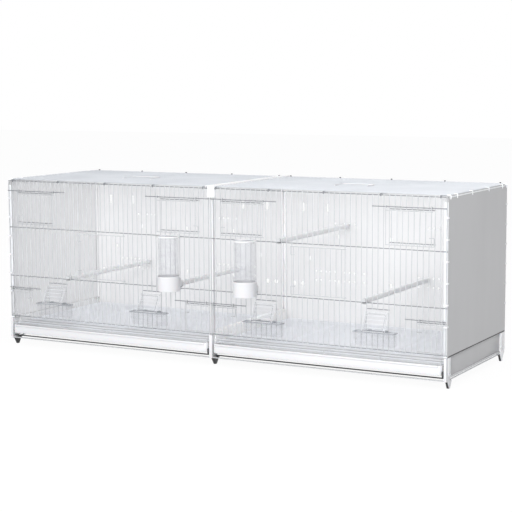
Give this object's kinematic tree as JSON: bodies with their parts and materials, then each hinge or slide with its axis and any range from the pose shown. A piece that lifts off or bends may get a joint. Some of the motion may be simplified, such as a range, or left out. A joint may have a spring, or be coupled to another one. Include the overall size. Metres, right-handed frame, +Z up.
{
  "type": "breeding cage",
  "caption": "White wire breeding cage with two bays, solid punched back and ends, hinged wire doors, clip-on feeders and drinkers, perches, floor grids and pull-out trays",
  "frame": {"origin": "on the ground, at the middle of the part's outline", "axes": "+X along the cage from the left bay to the right bay, +Y from front to back, +Z up"},
  "size_m": [1.204, 0.4454, 0.4327],
  "materials": {
    "wire_paint": "gloss white powder coat on steel wire",
    "panel_paint": "satin white paint on sheet steel",
    "white_plastic": "moulded white plastic",
    "clear_plastic": "clear moulded plastic",
    "black_plastic": "near-black moulded plastic"
  },
  "bodies": {
    "cage": {"front_grille_left": "wire_paint", "top_grille_left": "wire_paint", "back_panel_left": "panel_paint", "end_panel_left": "panel_paint", "skirt_left": "panel_paint", "front_grille_right": "wire_paint", "top_grille_right": "wire_paint", "back_panel_right": "panel_paint", "end_panel_right": "panel_paint", "skirt_right": "panel_paint", "divider_rail_front": "white_plastic", "divider_rail_rear": "white_plastic", "divider_sill": "white_plastic", "top_channel": "white_plastic", "base_wires": "wire_paint", "tray_guides": "black_plastic", "foot_pads": "black_plastic", "grille_clips": "black_plastic", "edge_clips": "wire_paint", "leg_front_left": "white_plastic", "leg_front_centre": "white_plastic", "leg_front_right": "white_plastic", "leg_rear_left": "white_plastic", "leg_rear_centre": "white_plastic", "leg_rear_right": "white_plastic"},
    "top_door_left_outer": {"top_door_left_outer": "wire_paint"},
    "lower_door_left_outer": {"lower_door_left_outer": "wire_paint"},
    "top_door_left_inner": {"top_door_left_inner": "wire_paint"},
    "lower_door_left_inner": {"lower_door_left_inner": "wire_paint"},
    "centre_door_left": {"centre_door_left": "wire_paint"},
    "feeder_left_a": {"feeder_trough_left_a": "clear_plastic", "feeder_hood_left_a": "clear_plastic"},
    "feeder_left_b": {"feeder_trough_left_b": "clear_plastic", "feeder_hood_left_b": "clear_plastic"},
    "drinker_left": {"drinker_tube_left": "clear_plastic", "drinker_cup_left": "white_plastic", "drinker_ring_left": "white_plastic"},
    "tray_left": {"tray_left": "white_plastic"},
    "floor_grid_left": {"floor_grid_left": "wire_paint"},
    "handle_left": {"handle_left": "wire_paint"},
    "top_door_right_outer": {"top_door_right_outer": "wire_paint"},
    "lower_door_right_outer": {"lower_door_right_outer": "wire_paint"},
    "top_door_right_inner": {"top_door_right_inner": "wire_paint"},
    "lower_door_right_inner": {"lower_door_right_inner": "wire_paint"},
    "centre_door_right": {"centre_door_right": "wire_paint"},
    "feeder_right_a": {"feeder_trough_right_a": "clear_plastic", "feeder_hood_right_a": "clear_plastic"},
    "feeder_right_b": {"feeder_trough_right_b": "clear_plastic", "feeder_hood_right_b": "clear_plastic"},
    "drinker_right": {"drinker_tube_right": "clear_plastic", "drinker_cup_right": "white_plastic", "drinker_ring_right": "white_plastic"},
    "tray_right": {"tray_right": "white_plastic"},
    "floor_grid_right": {"floor_grid_right": "wire_paint"},
    "handle_right": {"handle_right": "wire_paint"},
    "perch_1": {"perch_1": "white_plastic"},
    "perch_2": {"perch_2": "white_plastic"},
    "perch_3": {"perch_3": "white_plastic"},
    "perch_4": {"perch_4": "white_plastic"}
  },
  "joints": [
    {"name": "top_door_left_outer_swing", "type": "hinge", "parent": "cage", "child": "top_door_left_outer", "pos_m": [-0.516, -0.16645, 0.4], "axis": [-1, 0, 0], "range_deg": [0, 110]},
    {"name": "lower_door_left_outer_swing", "type": "hinge", "parent": "cage", "child": "lower_door_left_outer", "pos_m": [-0.56325, -0.16645, 0.151], "axis": [-1, 0, 0], "range_deg": [0, 90]},
    {"name": "top_door_left_inner_swing", "type": "hinge", "parent": "cage", "child": "top_door_left_inner", "pos_m": [-0.084, -0.16645, 0.4], "axis": [-1, 0, 0], "range_deg": [0, 110]},
    {"name": "lower_door_left_inner_swing", "type": "hinge", "parent": "cage", "child": "lower_door_left_inner", "pos_m": [-0.03675, -0.16645, 0.151], "axis": [-1, 0, 0], "range_deg": [0, 90]},
    {"name": "centre_door_left_swing", "type": "hinge", "parent": "cage", "child": "centre_door_left", "pos_m": [-0.246, -0.16445, 0.2435], "axis": [0, 0, 1], "range_deg": [0, 110]},
    {"name": "feeder_left_a_lift_off", "type": "slide", "parent": "cage", "child": "feeder_left_a", "axis": [0, -1, 0], "range_m": [0, 0.05]},
    {"name": "feeder_left_b_lift_off", "type": "slide", "parent": "cage", "child": "feeder_left_b", "axis": [0, -1, 0], "range_m": [0, 0.05]},
    {"name": "drinker_left_lift_off", "type": "slide", "parent": "cage", "child": "drinker_left", "axis": [0, -1, 0], "range_m": [0, 0.06]},
    {"name": "tray_left_pull", "type": "slide", "parent": "cage", "child": "tray_left", "axis": [0, -1, 0], "range_m": [0, 0.36]},
    {"name": "floor_grid_left_pull", "type": "slide", "parent": "cage", "child": "floor_grid_left", "axis": [0, -1, 0], "range_m": [0, 0.36]},
    {"name": "handle_left_fold", "type": "hinge", "parent": "cage", "child": "handle_left", "pos_m": [-0.3, -0.0172, 0.429], "axis": [1, 0, 0], "range_deg": [0, 90]},
    {"name": "top_door_right_outer_swing", "type": "hinge", "parent": "cage", "child": "top_door_right_outer", "pos_m": [0.516, -0.16645, 0.4], "axis": [-1, 0, 0], "range_deg": [0, 110]},
    {"name": "lower_door_right_outer_swing", "type": "hinge", "parent": "cage", "child": "lower_door_right_outer", "pos_m": [0.56325, -0.16645, 0.151], "axis": [-1, 0, 0], "range_deg": [0, 90]},
    {"name": "top_door_right_inner_swing", "type": "hinge", "parent": "cage", "child": "top_door_right_inner", "pos_m": [0.084, -0.16645, 0.4], "axis": [-1, 0, 0], "range_deg": [0, 110]},
    {"name": "lower_door_right_inner_swing", "type": "hinge", "parent": "cage", "child": "lower_door_right_inner", "pos_m": [0.03675, -0.16645, 0.151], "axis": [-1, 0, 0], "range_deg": [0, 90]},
    {"name": "centre_door_right_swing", "type": "hinge", "parent": "cage", "child": "centre_door_right", "pos_m": [0.354, -0.16445, 0.2435], "axis": [0, 0, 1], "range_deg": [0, 110]},
    {"name": "feeder_right_a_lift_off", "type": "slide", "parent": "cage", "child": "feeder_right_a", "axis": [0, -1, 0], "range_m": [0, 0.05]},
    {"name": "feeder_right_b_lift_off", "type": "slide", "parent": "cage", "child": "feeder_right_b", "axis": [0, -1, 0], "range_m": [0, 0.05]},
    {"name": "drinker_right_lift_off", "type": "slide", "parent": "cage", "child": "drinker_right", "axis": [0, -1, 0], "range_m": [0, 0.06]},
    {"name": "tray_right_pull", "type": "slide", "parent": "cage", "child": "tray_right", "axis": [0, -1, 0], "range_m": [0, 0.36]},
    {"name": "floor_grid_right_pull", "type": "slide", "parent": "cage", "child": "floor_grid_right", "axis": [0, -1, 0], "range_m": [0, 0.36]},
    {"name": "handle_right_fold", "type": "hinge", "parent": "cage", "child": "handle_right", "pos_m": [0.3, -0.0172, 0.429], "axis": [1, 0, 0], "range_deg": [0, 90]},
    {"name": "perch_1_push_back", "type": "slide", "parent": "cage", "child": "perch_1", "axis": [0, 1, 0], "range_m": [0, 0.01]},
    {"name": "perch_2_push_back", "type": "slide", "parent": "cage", "child": "perch_2", "axis": [0, 1, 0], "range_m": [0, 0.01]},
    {"name": "perch_3_push_back", "type": "slide", "parent": "cage", "child": "perch_3", "axis": [0, 1, 0], "range_m": [0, 0.01]},
    {"name": "perch_4_push_back", "type": "slide", "parent": "cage", "child": "perch_4", "axis": [0, 1, 0], "range_m": [0, 0.01]}
  ]
}
